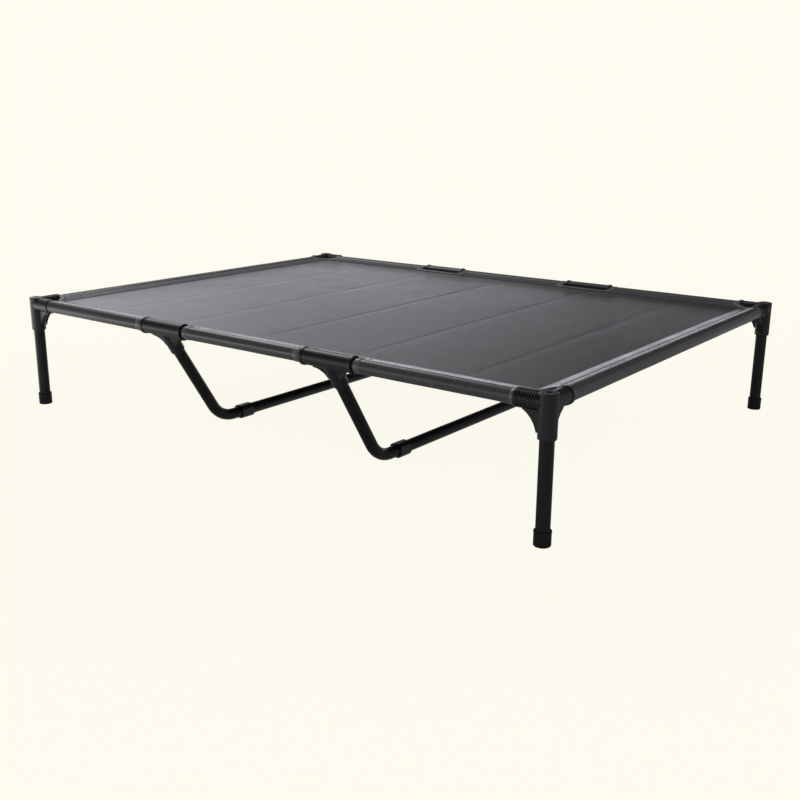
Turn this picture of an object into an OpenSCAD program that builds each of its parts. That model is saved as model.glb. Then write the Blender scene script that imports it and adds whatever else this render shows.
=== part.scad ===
// Raised dog cot: a knock-down frame of push-fit steel tubes and moulded connectors
// that stretches a sewn mesh sling clear of the floor.
// Millimetres. The origin is on the floor under the middle of the cot, +X along its long side, +Z up.
// The front is the long side at -Y, and left and right are as seen from the front.

/* [Overall] */
// Distance between the corner post axes along the long side
post_span_x = 1204; // [1000:1:1500]
// Distance between the corner post axes along the short side
post_span_y = 907; // [700:1:1200]
// Height from the floor to the top of the corner posts
cot_height = 228; // [190:1:320]

/* [Tubes] */
// Outside diameter of every frame tube
tube_od = 22; // [19:0.5:25]
// Wall of every frame tube
tube_wall = 1.2; // [0.8:0.1:2.5]
// Radial clearance of a tube in its socket
socket_gap = 0.1; // [0.05:0.05:0.25]

/* [Corner connectors] */
// Wall of the upright post round the leg tube
post_wall = 3.1; // [2.5:0.1:5]
// Length of the upright post from its flat top to its mouth
post_length = 68; // [60:1:90]
// Plastic left between the top of the leg tube and the top of the post
post_cap = 6; // [4:0.5:10]
// Rounding of the edge round the flat top
post_top_round = 1.5; // [0.5:0.1:2.5]
// Chamfer round the mouth of the post and of the tee branches
mouth_chamfer = 2; // [0.5:0.1:2.4]
// Diameter of the hole in the middle of the flat top
top_hole_d = 6; // [4:0.1:9]
// Diameter of the shallow recess round that hole
top_recess_d = 11.6; // [10:0.1:16]
// Depth of that recess
top_recess_depth = 0.4; // [0.2:0.1:2]
// Wall of the two level arms round the rail tubes
arm_wall = 2.4; // [2:0.1:4]
// Length of an arm from the post axis to its mouth
arm_length = 51.5; // [48:0.5:64]
// Plastic between the leg bore and the inner end of a rail tube
arm_stop = 4.5; // [2:0.5:8]
// Height by which ribs and rims stand proud of an arm
rib_height = 1.1; // [0.6:0.1:1.6]
// Number of gripping ribs round the ribbed arm, behind its rim
rib_count = 7; // [4:1:8]
// Spacing of the ribs along the arm
rib_pitch = 4.4; // [3.4:0.05:4.6]
// Width of the smooth rim round the mouth of an arm
rim_width = 6.5; // [3:0.5:9]
// Thickness of the webs under the arms
web_thickness = 10; // [6:0.5:16]
// Reach of the large web along the ribbed arm from the post axis
large_web_reach = 40; // [34:0.5:60]
// Drop of the large web below the arm
large_web_drop = 32; // [24:0.5:38]
// Radius of the hollow edge of the large web
large_web_radius = 46; // [40:1:120]
// Reach of the small web along the plain arm from the post axis
small_web_reach = 35; // [30:0.5:50]
// Drop of the small web below the arm
small_web_drop = 26; // [18:0.5:30]
// Radius of the hollow edge of the small web
small_web_radius = 48; // [20:1:60]
// Width of the foot of a web outside the post
web_foot = 2; // [1:0.5:8]

/* [Tees] */
// Distance between the two tees of a long side
tee_spacing = 401; // [300:1:560]
// Length of a tee along the rail
tee_length = 110; // [90:1:130]
// Wall of the level barrel of a tee
tee_wall = 3.1; // [2.5:0.1:5]
// Wall of the sloping branch of a tee
branch_wall = 2.4; // [2:0.1:4]
// Length of the branch from the rail axis to its mouth
branch_length = 54; // [46:0.5:80]
// Radius of the web between barrel and branch
tee_fillet = 22; // [10:0.5:24]
// Thickness of that web
tee_web_thickness = 18; // [8:0.5:22]
// Width of the raised bead round each mouth of the barrel
bead_width = 6; // [4:0.5:12]
// Height of that bead
bead_height = 1.3; // [0.3:0.1:1.6]
// Plastic between the tube ends inside a tee, and inside a coupler
tube_stop = 4; // [2:0.5:8]

/* [Centre supports] */
// Lean of the support legs from upright
leg_lean = 32.3; // [20:0.1:40]
// Centre-line radius of the bend at the floor
bend_radius = 63; // [45:1:90]
// Straight tube from the end of the bend to the middle of the coupler
leg_tail = 32; // [26:0.5:80]
// Length of a coupler, which is also the cot's middle foot
coupler_length = 31; // [28:0.5:50]
// Wall of a coupler at the middle of its flats
coupler_wall = 2; // [1.8:0.1:5]
// Rounding of the long edges of a coupler
coupler_round = 9; // [2:0.5:9]

/* [Feet] */
// Wall of a foot cap round the leg tube
foot_wall = 2.1; // [1.5:0.1:4]
// Height of a foot cap
foot_height = 23.5; // [16:0.5:40]
// Thickness of a foot cap under the tube
foot_base = 4; // [2.5:0.5:8]
// Rounding round the sole of a foot cap
foot_round = 1.6; // [0.6:0.1:2]
// Height of the lip round the top of a foot cap
foot_lip = 2.4; // [1.6:0.1:4]

/* [Mesh sling] */
// Thickness of one layer of cloth
cloth = 0.8; // [0.5:0.1:1.5]
// Clearance between a rail tube and the sleeve round it
sleeve_gap = 0.2; // [0.1:0.05:0.3]
// Distance from a rail axis to the hem seam
hem_width = 37; // [32:0.5:50]
// Width of the flat double layer along the seam
hem_flat = 12; // [6:0.5:15]
// Height of the stretched panel above the rail axis
hem_lift = 5.5; // [2:0.5:9]
// Clearance of the cloth from the mouths of the arms
corner_gap = 6.5; // [1:0.5:12]
// Rounding of the inner corner of the cut-out round a corner connector
corner_round = 25; // [10:0.5:30]
// Clearance of the cloth from the mouths of the tees
cut_gap = 2.5; // [1:0.5:8]
// Width of the hem that a tee cut-out leaves
hem_left = 8; // [6:0.5:10]
// Rounding of the inner corners of a tee cut-out
notch_round = 9; // [3:0.5:12]

/* [Hidden] */
$fn = 64;
over = 1;

half_x = post_span_x / 2;
half_y = post_span_y / 2;
bore_d = tube_od + 2 * socket_gap;
post_r = bore_d / 2 + post_wall;
post_mouth_z = cot_height - post_length;
arm_r = bore_d / 2 + arm_wall;
rail_z = cot_height - arm_r - rib_height;
arm_seat = bore_d / 2 + arm_stop;
tee_x = tee_spacing / 2;
tee_r = bore_d / 2 + tee_wall;
branch_r = bore_d / 2 + branch_wall;
branch_seat = tee_r + tube_stop / 2;
coupler_half = bore_d / 2 + coupler_wall;
cross_z = coupler_half;
foot_r = bore_d / 2 + foot_wall;
sleeve_r = tube_od / 2 + sleeve_gap;
panel_z = rail_z + hem_lift;
corner_cut = max(arm_length, hem_width) + corner_gap;
rim_round = rib_height * 0.9;
lip_proud = foot_lip / 6;
// Least thickness of a web at its tip, and least radius of its edge for each unit of the edge's chord
web_tip = 1;
web_edge_share = 0.55;
// How far the flat sides of a sleeve cut into its round, and half the gap between them at the seam
wrap_bite = cloth / 16;
fold_gap = cloth / 8;
// How much thinner a tube is drawn at its bend, and the degrees by which the bend runs into the straight tube
bend_thinning = 0.05;
bend_lap = 0.5;

// The support leg: slope, bend and tail in the plane of a pair of tees
bend_turn = 90 - leg_lean;
bend_tangent = bend_radius * tan(bend_turn / 2);
slope_length = (rail_z - cross_z) / cos(leg_lean) - bend_tangent;
bend_end_y = half_y - (rail_z - cross_z) * tan(leg_lean) - bend_tangent;
coupler_y = bend_end_y - leg_tail;

// Corner: name, side along X, side along Y, turn of the connector
CORNERS = [
    ["front_left", -1, -1, -90],
    ["front_right", 1, -1, 0],
    ["back_left", -1, 1, 180],
    ["back_right", 1, 1, 90],
];
// Long side: name and turn that brings the front to it
LONG_SIDES = [["front", 0], ["back", 180]];
// End of the cot: name and side along X
ENDS = [["left", -1], ["right", 1]];
RAILS = ["left", "middle", "right"];

// Point where a line from an outside point touches a circle about the origin, above it (side 1) or below (-1)
function touch(r, p, side) =
    let (a = atan2(p[1], p[0]) + side * acos(r / norm(p))) [r * cos(a), r * sin(a)];

// Middle of an arc of radius r through p and q, on the right of the way from p to q
function arc_middle(p, q, r) =
    let (d = q - p, m = (p + q) / 2, h = sqrt(r * r - d * d / 4)) m + h / norm(d) * [d[1], -d[0]];

// Rectangle with its corner at the origin side x = 0 and rounded outer corners, for turned rims
module rounded_band(r, height, round) {
    square([r - round, height]);
    translate([0, round]) square([r, height - 2 * round]);
    for (y = [round, height - round]) translate([r - round, y]) circle(round);
}

// Rectangle about the origin with rounded corners
module rounded_plate(width, depth, round) {
    square([width - 2 * round, depth], center = true);
    square([width, depth - 2 * round], center = true);
    for (x = [-1, 1], y = [-1, 1])
        translate([x * (width / 2 - round), y * (depth / 2 - round)]) circle(round);
}

// Frame tube from z = from to z = to on the Z axis
module tube(from, to) {
    translate([0, 0, from]) difference() {
        cylinder(d = tube_od, h = to - from);
        translate([0, 0, -over]) cylinder(d = tube_od - 2 * tube_wall, h = to - from + 2 * over);
    }
}

// Turns the Z axis to +X
module along_x() {
    rotate([0, 90, 0]) children();
}

// Puts a corner's piece at its post axis, turned as the connector is
module at_corner(c) {
    translate([c[1] * half_x, c[2] * half_y, 0]) rotate([0, 0, c[3]]) children();
}

// Turns a piece of the front long side to the back for the corners there
module at_side(c) {
    rotate([0, 0, c[2] < 0 ? 0 : 180]) children();
}

// Upright post of a corner connector, before its bores
module post_body() {
    rotate_extrude() union() {
        translate([0, post_mouth_z]) polygon([
            [0, 0], [post_r - mouth_chamfer / 2, 0], [post_r, mouth_chamfer],
            [post_r, post_length - post_top_round], [0, post_length - post_top_round],
        ]);
        translate([0, cot_height - post_top_round]) square([post_r - post_top_round, post_top_round]);
        translate([post_r - post_top_round, cot_height - post_top_round]) circle(post_top_round);
    }
}

// Outline of a level arm from the post axis along +Y, with a smooth rim at its mouth
module arm_outline() {
    square([arm_r, arm_length]);
    translate([0, arm_length - rim_width]) rounded_band(arm_r + rib_height, rim_width, rim_round);
}

// Level arm with gripping ribs behind its rim, along +Z from the post axis
module ribbed_arm() {
    rotate_extrude() union() {
        arm_outline();
        for (i = [1 : rib_count])
            translate([arm_r, arm_length - rim_width - i * rib_pitch + rib_pitch / 2]) circle(rib_height);
    }
}

// Level arm without ribs, along +Z from the post axis
module plain_arm() {
    rotate_extrude() arm_outline();
}

// Web with a hollow edge under an arm that runs along +X
module arm_web(reach, drop, radius) {
    low = rail_z - arm_r - drop;
    foot = [post_r + web_foot, low];
    tip = [min(reach, arm_length - web_tip), rail_z - arm_r - web_tip];
    edge_r = max(radius, norm(tip - foot) * web_edge_share);
    rotate([90, 0, 0]) translate([0, 0, -web_thickness / 2]) linear_extrude(web_thickness) difference() {
        polygon([[0, low], foot, tip, [tip[0], rail_z], [0, rail_z]]);
        translate(arc_middle(foot, tip, edge_r)) circle(edge_r);
    }
}

// Moulded three-way corner: ribbed arm along -X, plain arm along +Y, post down over the leg tube
module corner_connector() {
    color("#1b1b1c") difference() {
        union() {
            post_body();
            translate([0, 0, rail_z]) rotate([0, 0, 180]) along_x() ribbed_arm();
            translate([0, 0, rail_z]) rotate([0, 0, 90]) along_x() plain_arm();
            rotate([0, 0, 180]) arm_web(large_web_reach, large_web_drop, large_web_radius);
            rotate([0, 0, 90]) arm_web(small_web_reach, small_web_drop, small_web_radius);
        }
        translate([0, 0, post_mouth_z - over])
            cylinder(d = bore_d, h = post_length - post_cap + over);
        translate([0, 0, cot_height - post_cap - over]) cylinder(d = top_hole_d, h = post_cap + 2 * over);
        translate([0, 0, cot_height - top_recess_depth])
            cylinder(d = top_recess_d, h = top_recess_depth + over);
        for (turn = [90, 180])
            translate([0, 0, rail_z]) rotate([0, 0, turn]) along_x()
                translate([0, 0, arm_seat]) cylinder(d = bore_d, h = arm_length - arm_seat + over);
    }
}

// Upright tube from the foot cap to the underside of the post's flat top
module corner_leg() {
    color("#202021") tube(foot_base, cot_height - post_cap);
}

// Cap that closes a leg tube and stands on the floor
module foot_cap() {
    color("#151516") difference() {
        rotate_extrude() union() {
            square([foot_r - foot_round, foot_round]);
            translate([foot_r - foot_round, foot_round]) intersection() {
                circle(foot_round);
                translate([0, -foot_round]) square([foot_round, 2 * foot_round]);
            }
            translate([0, foot_round]) square([foot_r, foot_height - foot_round]);
            translate([0, foot_height - foot_lip]) rounded_band(foot_r + lip_proud, foot_lip, lip_proud);
        }
        translate([0, 0, foot_base]) cylinder(d = bore_d, h = foot_height);
    }
}

// Rail tube of the front long side: left and right run from a tee to a corner, the middle between the tees
module side_rail(place) {
    inner = tee_x + tube_stop / 2;
    outer = half_x - arm_seat;
    ends = place == "middle" ? [-tee_x + tube_stop / 2, tee_x - tube_stop / 2]
        : place == "left" ? [-outer, -inner] : [inner, outer];
    color("#202021") translate([0, -half_y, rail_z]) along_x() tube(ends[0], ends[1]);
}

// Rail tube across an end of the cot
module end_rail(side) {
    reach = half_y - arm_seat;
    color("#202021") translate([side * half_x, 0, rail_z]) rotate([-90, 0, 0]) tube(-reach, reach);
}

// Level barrel of a tee along Z, with a bead round each mouth
module tee_barrel() {
    rotate_extrude() union() {
        translate([0, -tee_length / 2]) square([tee_r, tee_length]);
        for (start = [-tee_length / 2, tee_length / 2 - bead_width])
            translate([0, start]) rounded_band(tee_r + bead_height, bead_width, bead_height);
    }
}

// Web that fills the corners between barrel and branch, with hollow edges
module tee_web() {
    reach = branch_r + tee_fillet;
    low = tee_r + tee_fillet;
    rotate([90, 0, 0]) linear_extrude(tee_web_thickness, center = true) difference() {
        translate([-reach, -low]) square([2 * reach, low]);
        for (side = [-1, 1]) translate([side * reach, -low]) circle(tee_fillet);
    }
}

// Moulded tee about the rail axis, with its branch straight down before it is leaned inwards
module tee_body() {
    difference() {
        union() {
            along_x() tee_barrel();
            rotate([180, 0, 0]) rotate_extrude() polygon([
                [0, 0], [branch_r, 0], [branch_r, branch_length - mouth_chamfer],
                [branch_r - mouth_chamfer / 2, branch_length], [0, branch_length],
            ]);
            tee_web();
        }
        for (turn = [0, 180])
            rotate([0, 0, turn]) along_x() translate([0, 0, tube_stop / 2])
                cylinder(d = bore_d, h = tee_length);
        rotate([180, 0, 0]) translate([0, 0, branch_seat]) cylinder(d = bore_d, h = branch_length);
    }
}

// Tee on the front long side that carries a support leg
module support_tee(side) {
    color("#1b1b1c") translate([side * tee_x, -half_y, rail_z]) rotate([leg_lean, 0, 0]) tee_body();
}

// Solid run of a support leg at one radius about the middle of its bend, with both ends made longer
module leg_run(radius, longer) {
    translate([bend_radius, 0, 0]) rotate([90, 0, 0])
        cylinder(r = radius, h = leg_tail - tube_stop / 2 + longer);
    rotate([0, 0, -bend_lap]) rotate_extrude(angle = bend_turn + 2 * bend_lap)
        translate([bend_radius, 0]) circle(radius - bend_thinning);
    rotate([0, 0, bend_turn]) translate([bend_radius, 0, 0]) rotate([-90, 0, 0])
        cylinder(r = radius, h = slope_length - branch_seat + longer);
}

// Bent tube from a front tee down to the floor and level into a coupler
module support_leg(side) {
    color("#202021") translate([side * tee_x, -bend_end_y, cross_z + bend_radius]) rotate([0, 90, 180])
        difference() {
            leg_run(tube_od / 2, 0);
            leg_run(tube_od / 2 - tube_wall, over);
        }
}

// Level tube along the floor between two couplers
module cross_tube(side) {
    reach = coupler_y - tube_stop / 2;
    color("#202021") translate([side * tee_x, 0, cross_z]) rotate([-90, 0, 0]) tube(-reach, reach);
}

// Block that joins a front support leg to the cross tube and stands on the floor
module floor_coupler(side) {
    color("#1b1b1c") translate([side * tee_x, -coupler_y, cross_z]) rotate([90, 0, 0]) difference() {
        linear_extrude(coupler_length, center = true)
            rounded_plate(2 * coupler_half, 2 * coupler_half, coupler_round);
        for (turn = [0, 180])
            rotate([turn, 0, 0]) translate([0, 0, tube_stop / 2]) cylinder(d = bore_d, h = coupler_length);
    }
}

// Wrap round a rail of a given radius along Z, drawn in to a tip beside it, the rail axis at the origin
module rail_wrap(radius, spread, length) {
    tip = [hem_width - hem_flat, hem_lift];
    upper = tip + [0, spread];
    lower = tip - [0, spread];
    inside = radius - wrap_bite;
    cylinder(r = radius, h = length, center = true);
    linear_extrude(length, center = true)
        polygon([touch(inside, upper, 1), upper, lower, touch(inside, lower, -1), [0, 0]]);
}

// Sleeve and its flat hem along Z, the panel's side at +X
module sewn_sleeve(length) {
    difference() {
        union() {
            rail_wrap(sleeve_r + cloth, cloth, length);
            linear_extrude(length, center = true)
                translate([hem_width - hem_flat - cloth, hem_lift - cloth])
                    square([hem_flat + cloth, 2 * cloth]);
        }
        rail_wrap(sleeve_r, fold_gap, length + 2 * over);
    }
}

// Square cut with rounded corners about a post axis that keeps the cloth clear of a corner connector
module corner_cut_out() {
    linear_extrude(2 * cot_height) rounded_plate(2 * corner_cut, 2 * corner_cut, corner_round);
}

// Sewn sleeve of a side at a distance from the middle, cut away at the corners and round its tees
module sleeve(distance, reach, tees) {
    notch_depth = hem_width - hem_left;
    notch_outer = sleeve_r + cloth + over;
    color("#55545a") difference() {
        translate([0, -distance, rail_z]) rotate([90, 0, 90]) sewn_sleeve(2 * reach);
        for (side = [-1, 1]) translate([side * reach, -distance, 0]) corner_cut_out();
        for (x = tees) translate([x, -distance + (notch_depth - notch_outer - notch_round) / 2, 0])
            linear_extrude(2 * cot_height)
                rounded_plate(
                    tee_length + 2 * cut_gap, notch_depth + notch_outer + notch_round, notch_round
                );
    }
}

// Stretched mesh panel between the four hems
module mesh_panel() {
    color("#77767c") difference() {
        translate([0, 0, panel_z])
            cube([post_span_x - 2 * hem_width, post_span_y - 2 * hem_width, cloth], center = true);
        for (c = CORNERS) translate([c[1] * half_x, c[2] * half_y, 0]) corner_cut_out();
    }
}

mesh_panel();
for (side = LONG_SIDES) {
    rotate([0, 0, side[1]]) sleeve(half_y, half_x, [-tee_x, tee_x]);
    for (place = RAILS)
        translate([0, side[1] == 0 ? 0 : post_span_y, 0]) side_rail(place);
}
for (end = ENDS) {
    rotate([0, 0, end[1] * 90]) sleeve(half_x, half_y, []);
    end_rail(end[1]);
    cross_tube(end[1]);
}
for (c = CORNERS) {
    at_corner(c) corner_connector();
    at_corner(c) corner_leg();
    at_corner(c) foot_cap();
    at_side(c) support_tee(-c[1] * c[2]);
    at_side(c) support_leg(-c[1] * c[2]);
    at_side(c) floor_coupler(-c[1] * c[2]);
}
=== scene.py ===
"""Looks of a raised dog cot: a mesh sling in sewn sleeves on a push-fit tube frame, in a pale studio."""

import logging
import math
from bisect import bisect_right
from collections.abc import Callable, Sequence
from dataclasses import dataclass, field
from enum import Enum

import bpy
from mathutils import Matrix, Vector


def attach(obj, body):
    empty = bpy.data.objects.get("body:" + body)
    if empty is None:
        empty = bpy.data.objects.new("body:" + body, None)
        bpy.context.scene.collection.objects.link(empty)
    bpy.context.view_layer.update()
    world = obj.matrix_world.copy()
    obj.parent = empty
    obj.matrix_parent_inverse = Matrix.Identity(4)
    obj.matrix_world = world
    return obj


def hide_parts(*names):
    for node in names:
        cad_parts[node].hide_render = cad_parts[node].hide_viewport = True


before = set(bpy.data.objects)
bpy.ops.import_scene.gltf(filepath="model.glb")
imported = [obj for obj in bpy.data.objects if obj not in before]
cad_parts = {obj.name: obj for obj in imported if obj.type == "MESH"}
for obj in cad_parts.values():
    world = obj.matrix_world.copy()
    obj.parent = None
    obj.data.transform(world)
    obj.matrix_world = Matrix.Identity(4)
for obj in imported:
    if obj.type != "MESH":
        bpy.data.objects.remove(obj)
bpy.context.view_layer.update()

LOG = logging.getLogger("raised_dog_cot")

Point = tuple[float, float, float]
Flat = tuple[float, float]
Face = tuple[int, ...]
Colour = tuple[float, float, float, float]
Stops = tuple[Flat, ...]
Node = bpy.types.Node
Socket = bpy.types.NodeSocket
Object = bpy.types.Object

# Numbers of the Mix node's two colour inputs and its colour output
MIX_LOWER, MIX_UPPER, MIX_RESULT = 6, 7, 2
# A ramp ends at 1, so places near the painted highlight line are given to it in centimetres
CENTIMETRES = 100.0
# Place beside the painted highlight line for cloth that has none
NO_HIGHLIGHT_LINE: Flat = (1.0, 0.0)


class Side(Enum):
    """Side of the cot, with the way along it from left to right for someone who faces it."""

    FRONT = (1, 0)
    BACK = (-1, 0)
    LEFT = (0, -1)
    RIGHT = (0, 1)

    @property
    def is_long(self) -> bool:
        """True for the two sides that carry the tees."""
        return self in (Side.FRONT, Side.BACK)

    @property
    def label(self) -> str:
        """The side's name in the names of pieces."""
        return self.name.lower()


class Seen(Enum):
    """Kinds of ray that see the pale background."""

    CAMERA = "Is Camera Ray"
    GLOSSY = "Is Glossy Ray"
    TRANSMISSION = "Is Transmission Ray"


class ShaderBoard:
    """Node tree of a material or the world, with short ways to add and join nodes."""

    def __init__(self, owner: bpy.types.ID) -> None:
        """Clears the tree.

        Args:
            owner: The material or world whose tree it is.
        """
        owner.use_nodes = True
        self.tree = owner.node_tree
        self.tree.nodes.clear()

    def add(
        self, kind: str, inputs: dict[str | int, object] | None = None, **settings: object
    ) -> Node:
        """Adds a node.

        Args:
            kind: Blender's name of the node's type.
            inputs: Values or sockets for the node's inputs, by name or number.
            settings: The node's own settings.

        Returns:
            The new node.
        """
        node = self.tree.nodes.new(kind)
        for name, value in settings.items():
            setattr(node, name, value)
        for name, value in (inputs or {}).items():
            if isinstance(value, Socket):
                self.tree.links.new(value, node.inputs[name])
            else:
                node.inputs[name].default_value = value
        return node

    def maths(self, operation: str, *values: object) -> Socket:
        """Socket of the result of a Math node on values or sockets."""
        return self.add("ShaderNodeMath", dict(enumerate(values)), operation=operation).outputs[0]

    def parts(self, place: Socket) -> bpy.types.NodeOutputs:
        """Parts X, Y and Z of a place."""
        return self.add("ShaderNodeSeparateXYZ", {"Vector": place}).outputs

    def noise(self, place: Socket, scale: float, detail: float, roughness: float = 0.5) -> Socket:
        """Socket of a noise texture's value."""
        inputs = {"Vector": place, "Scale": scale, "Detail": detail, "Roughness": roughness}
        return self.add("ShaderNodeTexNoise", inputs).outputs["Fac"]

    def blend(self, way: str, lower: Socket, upper: object, factor: object = 1.0) -> Socket:
        """Socket of a blend of two colours in one of Blender's ways."""
        inputs = {"Factor": factor, MIX_LOWER: lower, MIX_UPPER: upper}
        return self.add("ShaderNodeMix", inputs, data_type="RGBA", blend_type=way).outputs[MIX_RESULT]

    def mix(self, factor: Socket, first: Node, second: Node) -> Node:
        """A mix of two shaders, where the factor is the second one's share."""
        return self.add("ShaderNodeMixShader", {0: factor, 1: first.outputs[0], 2: second.outputs[0]})

    def ramp(self, factor: Socket, places: Sequence[float], colours: list[Colour]) -> Socket:
        """Adds a colour ramp.

        Args:
            factor: The socket that drives it.
            places: Place of each stop, in order.
            colours: Colour of each stop.

        Returns:
            The colour's socket.
        """
        node = self.add("ShaderNodeValToRGB", {"Fac": factor})
        band = node.color_ramp.elements
        while len(band) < len(places):
            band.new(1.0)
        for element, place, colour in zip(band, places, colours):
            element.position, element.color = place, colour
        return node.outputs["Color"]

    def end(self, shader: Node) -> None:
        """Makes a shader the surface of the material."""
        self.add("ShaderNodeOutputMaterial", {"Surface": shader.outputs[0]})

    def gloss(
        self, colour: Socket, rough: Socket, specular: float, height: Socket, strength: float,
        depth: float,
    ) -> None:
        """Makes a glossy surface in fine relief the surface of the material.

        Args:
            colour: Socket of its colour.
            rough: Socket of its roughness.
            specular: Its specular level.
            height: Socket of the relief's height.
            strength: How strong the relief is.
            depth: How deep it is in metres.
        """
        relief = {"Height": height, "Strength": strength, "Distance": depth}
        bump = self.add("ShaderNodeBump", relief).outputs["Normal"]
        self.end(self.add("ShaderNodeBsdfPrincipled", {
            "Base Color": colour, "Roughness": rough, "Specular IOR Level": specular, "Normal": bump,
        }))


def grey(level: float) -> Colour:
    """A neutral colour of one linear level."""
    return (level, level, level, 1.0)


def tinted(level: float, tint: Point) -> Colour:
    """A tint at a linear level."""
    return (level * tint[0], level * tint[1], level * tint[2], 1.0)


@dataclass(frozen=True)
class ClothFinish:
    """Woven, coated cloth: dark yarn, uneven threads, a satin gloss and, on sleeves, a painted highlight
    line.
    """

    name: str
    yarn: float
    gap: float
    roughness: float
    specular: float
    pitch: float
    uses_uv: bool
    streaks: Point
    streak_depth: float
    streak_tone: float = 0.24
    patches: float = 0.12
    patch_scale: float = 9.0
    rough_change: float = 0.03
    # How many times lighter the yarn is in random patches and streaks, and in the painted highlight line
    worn_and_highlight: float = 3.0
    # Level of the painted highlight: a lighter stripe along a sleeve that stands in for a reflection
    fold: float = 0.0
    highlight_line_edges: Flat = (0.03, 0.12)
    thread_edges: Flat = (0.15, 0.6)
    rough_edges: Flat = (0.3, 0.7)
    tint: Point = (0.99, 0.97, 1.06)

    def weave(self, board: ShaderBoard, place: Socket) -> Socket:
        """Adds the crossing threads.

        Args:
            board: The material's board.
            place: Socket of the place on the cloth.

        Returns:
            Socket of a level from 0 in the gaps to 1 on the crowns of the threads.
        """
        turns = [board.maths("MULTIPLY", part, math.pi / self.pitch) for part in board.parts(place)[:2]]
        crossing = board.maths("MULTIPLY", *(board.maths("SINE", turn) for turn in turns))
        return board.maths("MULTIPLY_ADD", crossing, 0.5, 0.5)

    def build(self) -> None:
        """Makes the material."""
        board = ShaderBoard(bpy.data.materials.new(self.name))
        place = board.add("ShaderNodeTexCoord").outputs["UV" if self.uses_uv else "Object"]
        cloud = board.noise(place, self.patch_scale, detail=4.0)
        drawn = board.add("ShaderNodeMapping", {"Vector": place, "Scale": self.streaks}).outputs[0]
        streak = board.noise(drawn, scale=1.0, detail=0.0)
        tone = board.maths("MULTIPLY", cloud, self.patches)
        tone = board.maths("MULTIPLY_ADD", streak, self.streak_tone, tone)
        # Painted highlight: a lighter stripe along the sleeve in place of a reflection of light
        if self.fold:
            away = board.parts(board.add("ShaderNodeUVMap", uv_map="fold").outputs["UV"])["X"]
            away = board.maths("MULTIPLY", board.maths("ABSOLUTE", away), CENTIMETRES)
            line = board.ramp(away, self.highlight_line_edges, [grey(self.fold), grey(0.0)])
            tone = board.maths("ADD", tone, line)
        levels = (self.gap, self.yarn, self.yarn * self.worn_and_highlight)
        gap, yarn, worn_and_highlight = (tinted(level, self.tint) for level in levels)
        threads = board.ramp(self.weave(board, place), self.thread_edges, [gap, yarn])
        colour = board.blend("MIX", threads, worn_and_highlight, tone)
        low, high = self.roughness - self.rough_change, self.roughness + self.rough_change
        rough = board.ramp(cloud, self.rough_edges, [grey(low), grey(high)])
        board.gloss(colour, rough, self.specular, streak, strength=1.0, depth=self.streak_depth)


@dataclass(frozen=True)
class HardFinish:
    """Paint, moulded plastic, rubber or thread with a fine grain and faint handling marks."""

    name: str
    base: float
    mark: float
    roughness: float
    specular: float
    grain_scale: float = 900.0
    grain_depth: float = 0.0001
    grain_strength: float = 0.25
    mark_scale: float = 38.0
    mark_dulling: float = 0.1
    mark_edges: Flat = (0.35, 0.72)
    rough_edges: Flat = (0.3, 0.75)
    tint: Point = (0.98, 0.98, 1.2)

    def build(self) -> None:
        """Makes the material."""
        board = ShaderBoard(bpy.data.materials.new(self.name))
        place = board.add("ShaderNodeTexCoord").outputs["Object"]
        grain = board.noise(place, self.grain_scale, detail=3.0)
        marks = board.noise(place, self.mark_scale, detail=7.0, roughness=0.65)
        tints = [tinted(level, self.tint) for level in (self.base, self.mark)]
        colour = board.ramp(marks, self.mark_edges, tints)
        dulled = self.roughness + self.mark_dulling
        rough = board.ramp(marks, self.rough_edges, [grey(self.roughness), grey(dulled)])
        board.gloss(colour, rough, self.specular, grain, self.grain_strength, self.grain_depth)


Finish = ClothFinish | HardFinish

PANEL_MESH = ClothFinish(
    "panel_mesh", yarn=0.0305, gap=0.0135, roughness=0.2, specular=0.5, pitch=0.0016, uses_uv=False,
    streaks=(225.0, 305.0, 225.0), streak_depth=0.0002, streak_tone=0.5,
)
# The sleeve cloth carries a painted highlight line
SLEEVE_CLOTH = ClothFinish(
    "sleeve_cloth", yarn=0.034, gap=0.02, roughness=0.23, specular=0.5, pitch=0.0012, uses_uv=True,
    streaks=(40.0, 130.0, 1.0), streak_depth=0.0001, fold=0.9,
)
BINDING_TAPE = ClothFinish(
    "binding_tape", yarn=0.062, gap=0.042, roughness=0.2, specular=0.6, pitch=0.0011, uses_uv=True,
    streaks=(150.0, 60.0, 1.0), streak_depth=0.00003,
)
THREAD = HardFinish("dark_thread", base=0.03, mark=0.04, roughness=0.5, specular=0.4)
LIGHT_THREAD = HardFinish("light_thread", base=0.2, mark=0.24, roughness=0.5, specular=0.4)
TUBE_PAINT = HardFinish(
    "tube_powder_coat", base=0.0088, mark=0.0102, roughness=0.3, specular=0.25,
    grain_scale=700.0, grain_depth=0.00003,
)
MOULDED_PLASTIC = HardFinish(
    "moulded_plastic", base=0.005, mark=0.0065, roughness=0.27, specular=0.52,
    grain_scale=1500.0, grain_depth=0.00003,
)
FOOT_RUBBER = HardFinish(
    "foot_rubber", base=0.0075, mark=0.0095, roughness=0.45, specular=0.22,
    grain_scale=1100.0, grain_depth=0.00004,
)
FINISHES = (
    PANEL_MESH, SLEEVE_CLOTH, BINDING_TAPE, THREAD, LIGHT_THREAD,
    TUBE_PAINT, MOULDED_PLASTIC, FOOT_RUBBER,
)


def deselect_all() -> None:
    """Deselects every object, so that an operator reaches only what is selected next."""
    bpy.ops.object.select_all(action="DESELECT")


def pick(piece: Object) -> None:
    """Selects one object alone and makes it the active one.

    Args:
        piece: The object.
    """
    deselect_all()
    piece.select_set(True)
    bpy.context.view_layer.objects.active = piece


def wear(piece: Object, finish: Finish) -> None:
    """Adds a finish to an object."""
    piece.data.materials.append(bpy.data.materials[finish.name])


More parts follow.
